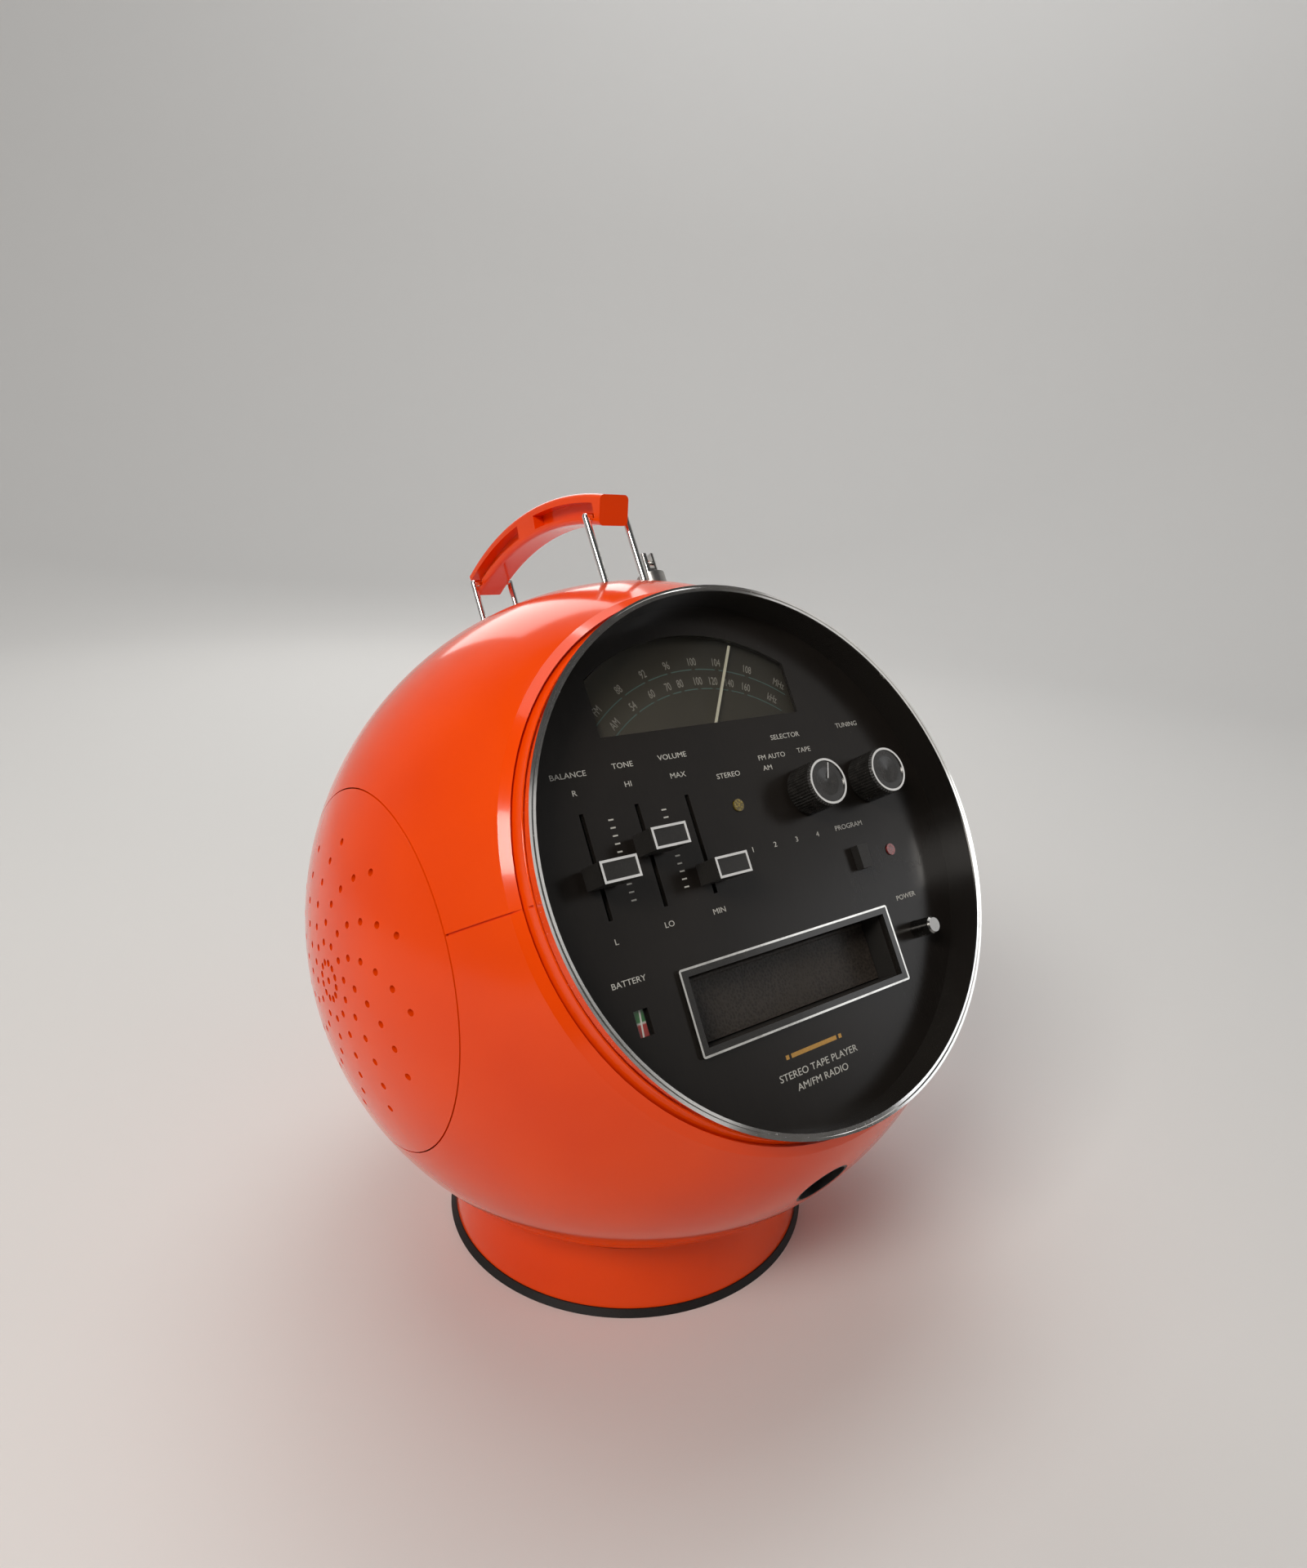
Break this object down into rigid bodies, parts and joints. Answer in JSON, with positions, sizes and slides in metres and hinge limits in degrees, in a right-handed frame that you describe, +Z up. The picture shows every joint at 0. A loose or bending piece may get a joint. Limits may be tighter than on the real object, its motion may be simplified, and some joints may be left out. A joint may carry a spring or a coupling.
{
  "type": "spherical portable radio",
  "caption": "Glossy ball-shaped radio with tape cartridge slot, leaning back on a ring base, with round black control panel, chrome bezel, side speakers and pull-up handle",
  "frame": {"origin": "on the floor, under the middle of the object's outer box", "axes": "+Z up, front panel facing -Y and tilted up, +X to the right of someone facing the panel"},
  "size_m": [0.29, 0.3046, 0.332],
  "materials": {
    "shell_orange": "glossy",
    "black_gloss": "glossy",
    "black_matte": "satin",
    "chrome": "polished",
    "rubber_black": "matte",
    "felt_black": "felt",
    "steel": "brushed",
    "window_smoke": "clear smoked",
    "dial_black": "matte",
    "lamp_amber": "clear",
    "lamp_red": "clear",
    "meter_face": "clear",
    "knob_black": "glossy",
    "needle_cream": "satin",
    "board_brown": "phenolic",
    "board_mixed": "mixed components",
    "ferrite": "matte",
    "plated_steel": "zinc plated",
    "iron": "lacquered",
    "cell_wrap": "plain sleeve",
    "paper_cone": "pulp",
    "turned_brass": "turned",
    "belt_rubber": "matte"
  },
  "bodies": {
    "base": {"base_ring": "shell_orange", "foot_ring": "rubber_black", "base_plate": "black_matte", "base_screws": "steel", "felt_glide": "felt_black"},
    "balance": {"balance_slider": "knob_black", "balance_trim": "chrome"},
    "tone": {"tone_slider": "knob_black", "tone_trim": "chrome"},
    "volume": {"volume_slider": "knob_black", "volume_trim": "chrome"},
    "selector": {"selector_knob": "knob_black", "selector_ring": "chrome"},
    "tuning": {"tuning_knob": "knob_black", "tuning_ring": "chrome"},
    "needle": {"dial_needle": "needle_cream"},
    "power": {"power_button": "chrome"},
    "program": {"program_button": "knob_black"},
    "flap": {"slot_flap": "black_matte"},
    "capstan": {"flywheel": "turned_brass"},
    "motor_shaft": {"motor_pulley": "turned_brass"},
    "lid": {"battery_door": "shell_orange"},
    "bail_front": {"front_bail": "chrome"},
    "bail_rear": {"rear_bail": "chrome"},
    "grip": {"handle_grip": "shell_orange"},
    "mast": {"aerial_mast": "chrome"},
    "globe": {"swivel_stud": "steel", "upper_shell": "shell_orange", "lower_shell": "shell_orange", "jack_cup": "black_matte", "jack_sockets": "chrome", "panel_surround": "black_gloss", "bezel_ring": "chrome", "front_panel": "black_gloss", "dial_window": "window_smoke", "dial_plate": "dial_black", "stereo_lamp": "lamp_amber", "tape_lamp": "lamp_red", "battery_meter": "meter_face", "panel_controls": "plated_steel", "chassis_plate": "plated_steel", "main_board": "board_brown", "board_parts": "board_mixed", "ferrite_rod": "ferrite", "cartridge_chute": "black_matte", "slot_frame": "chrome", "deck_plate": "plated_steel", "deck_motor": "plated_steel", "power_transformer": "iron", "drive_belt": "belt_rubber", "battery_tray": "black_matte", "battery_cells": "cell_wrap", "speaker_cap_right": "shell_orange", "speaker_cap_left": "shell_orange", "speaker_right": "iron", "speaker_left": "iron", "speaker_cone_right": "paper_cone", "speaker_cone_left": "paper_cone", "aerial_tube": "chrome"}
  },
  "joints": [
    {"name": "globe_swivel", "type": "hinge", "parent": "base", "child": "globe", "pos_m": [0, -0.00514, 0.05], "axis": [0, 0, 1], "continuous": true},
    {"name": "balance_slide", "type": "slide", "parent": "globe", "child": "balance", "axis": [0, 0.5446, 0.8387], "range_m": [-0.0131, 0.0215]},
    {"name": "tone_slide", "type": "slide", "parent": "globe", "child": "tone", "axis": [0, 0.5446, 0.8387], "range_m": [-0.0208, 0.0138]},
    {"name": "volume_slide", "type": "slide", "parent": "globe", "child": "volume", "axis": [0, 0.5446, 0.8387], "range_m": [-0.0054, 0.0292]},
    {"name": "selector_turn", "type": "hinge", "parent": "globe", "child": "selector", "pos_m": [0.032, -0.07393, 0.22151], "axis": [0, 0.8387, -0.5446], "range_deg": [-73, 0]},
    {"name": "tuning_turn", "type": "hinge", "parent": "globe", "child": "tuning", "pos_m": [0.0685, -0.07393, 0.22151], "axis": [0, 0.8387, -0.5446], "range_deg": [-316, 44]},
    {"name": "needle_turn", "type": "hinge", "parent": "globe", "child": "needle", "pos_m": [-0.0085, -0.04517, 0.22907], "axis": [0, 0.8387, -0.5446], "range_deg": [-79.5, 11.5]},
    {"name": "power_push", "type": "slide", "parent": "globe", "child": "power", "axis": [0, 0.8387, -0.5446], "range_m": [0, 0.003], "stiffness_N_per_m": 300, "springref_m": -0.0015},
    {"name": "program_push", "type": "slide", "parent": "globe", "child": "program", "axis": [0, 0.8387, -0.5446], "range_m": [0, 0.002], "stiffness_N_per_m": 300, "springref_m": -0.0015},
    {"name": "flap_swing", "type": "hinge", "parent": "globe", "child": "flap", "pos_m": [0, -0.09077, 0.16234], "axis": [1, 0, 0], "range_deg": [0, 85], "stiffness_Nm_per_rad": 0.0015, "springref_deg": -45.84},
    {"name": "capstan_spin", "type": "hinge", "parent": "globe", "child": "capstan", "pos_m": [-0.015, -0.03312, 0.08055], "axis": [0, 0.5446, 0.8387], "continuous": true},
    {"name": "motor_spin", "type": "hinge", "parent": "globe", "child": "motor_shaft", "pos_m": [0.038, -0.0197, 0.07183], "axis": [0, 0.5446, 0.8387], "continuous": true},
    {"name": "lid_pull", "type": "slide", "parent": "globe", "child": "lid", "axis": [0, 0.8387, -0.5446], "range_m": [0, 0.04]},
    {"name": "handle_lift", "type": "slide", "parent": "globe", "child": "bail_front", "axis": [0, 0.5446, 0.8387], "range_m": [-0.019, 0]},
    {"name": "rear_lift", "type": "slide", "parent": "globe", "child": "bail_rear", "axis": [0, 0.5446, 0.8387], "range_m": [-0.0402, 0]},
    {"name": "grip_level", "type": "hinge", "parent": "bail_front", "child": "grip", "pos_m": [0, 0.03706, 0.32173], "axis": [1, 0, 0], "range_deg": [-11, 0]},
    {"name": "mast_pull", "type": "slide", "parent": "globe", "child": "mast", "axis": [0, 0.5446, 0.8387], "range_m": [0, 0.06]}
  ],
  "couplings": [
    {"joint": "needle_turn", "follows": "tuning_turn", "ratio": 0.25},
    {"joint": "motor_spin", "follows": "capstan_spin", "ratio": 6},
    {"joint": "rear_lift", "follows": "handle_lift", "ratio": 2.1053},
    {"joint": "grip_level", "follows": "handle_lift", "rad_per_m": 9.9284}
  ]
}
